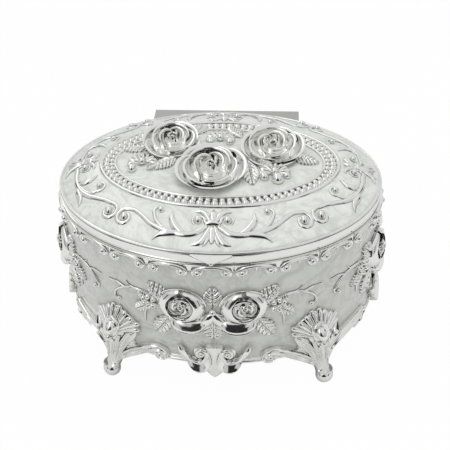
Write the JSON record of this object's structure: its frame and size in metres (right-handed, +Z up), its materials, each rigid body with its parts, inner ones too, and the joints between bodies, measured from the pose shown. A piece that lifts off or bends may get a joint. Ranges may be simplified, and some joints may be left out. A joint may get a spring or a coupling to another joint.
{
  "type": "footed oval keepsake box",
  "caption": "Footed oval metal keepsake box with a hinged domed lid, pearl enamel panels, applied roses and scrollwork, and a soft lining.",
  "frame": {"origin": "on the floor under the middle of the oval", "axes": "+X to the right along the oval, -Y towards the front with the thumb tab, +Y towards the hinge, +Z up"},
  "size_m": [0.1404, 0.111, 0.0919],
  "materials": {
    "silver_plate": "bright silver plating over a zinc casting, soft on the high spots",
    "grey_pearl_enamel": "glossy epoxy enamel with a grey pearl swirl",
    "white_pearl_enamel": "glossy epoxy enamel with a white pearl swirl",
    "base_steel": "plain plated sheet",
    "pin_steel": "drawn wire",
    "velvet": "short ivory velvet"
  },
  "bodies": {
    "box": {"body_shell": "silver_plate", "upper_scroll_trim": "silver_plate", "front_left_leg": "silver_plate", "front_right_leg": "silver_plate", "rear_left_leg": "silver_plate", "rear_right_leg": "silver_plate", "front_rose_spray": "silver_plate", "rear_rose_spray": "silver_plate", "right_rose_spray": "silver_plate", "left_rose_spray": "silver_plate", "front_apron_pendant": "silver_plate", "rear_apron_pendant": "silver_plate", "right_apron_pendant": "silver_plate", "left_apron_pendant": "silver_plate", "body_hinge_leaf": "silver_plate", "body_enamel": "grey_pearl_enamel", "base_plate": "base_steel", "hinge_pin": "pin_steel", "wall_lining": "velvet", "floor_pad": "velvet"},
    "lid": {"lid_shell": "silver_plate", "lid_bead_ring": "silver_plate", "lid_thumb_tab": "silver_plate", "lid_hinge_leaf": "silver_plate", "lid_front_rose": "silver_plate", "lid_left_rose": "silver_plate", "lid_right_rose": "silver_plate", "lid_left_leaves": "silver_plate", "lid_rear_leaves": "silver_plate", "lid_right_leaves": "silver_plate", "lid_front_scrollwork": "silver_plate", "lid_rear_scrollwork": "silver_plate", "lid_right_scrollwork": "silver_plate", "lid_left_scrollwork": "silver_plate", "lid_enamel_band": "white_pearl_enamel", "lid_enamel_centre": "white_pearl_enamel", "lid_lining": "velvet"}
  },
  "joints": [
    {"name": "lid_hinge", "type": "hinge", "parent": "box", "child": "lid", "pos_m": [0, 0.0526, 0.07082], "axis": [-1, 0, 0], "range_deg": [0, 100]}
  ]
}
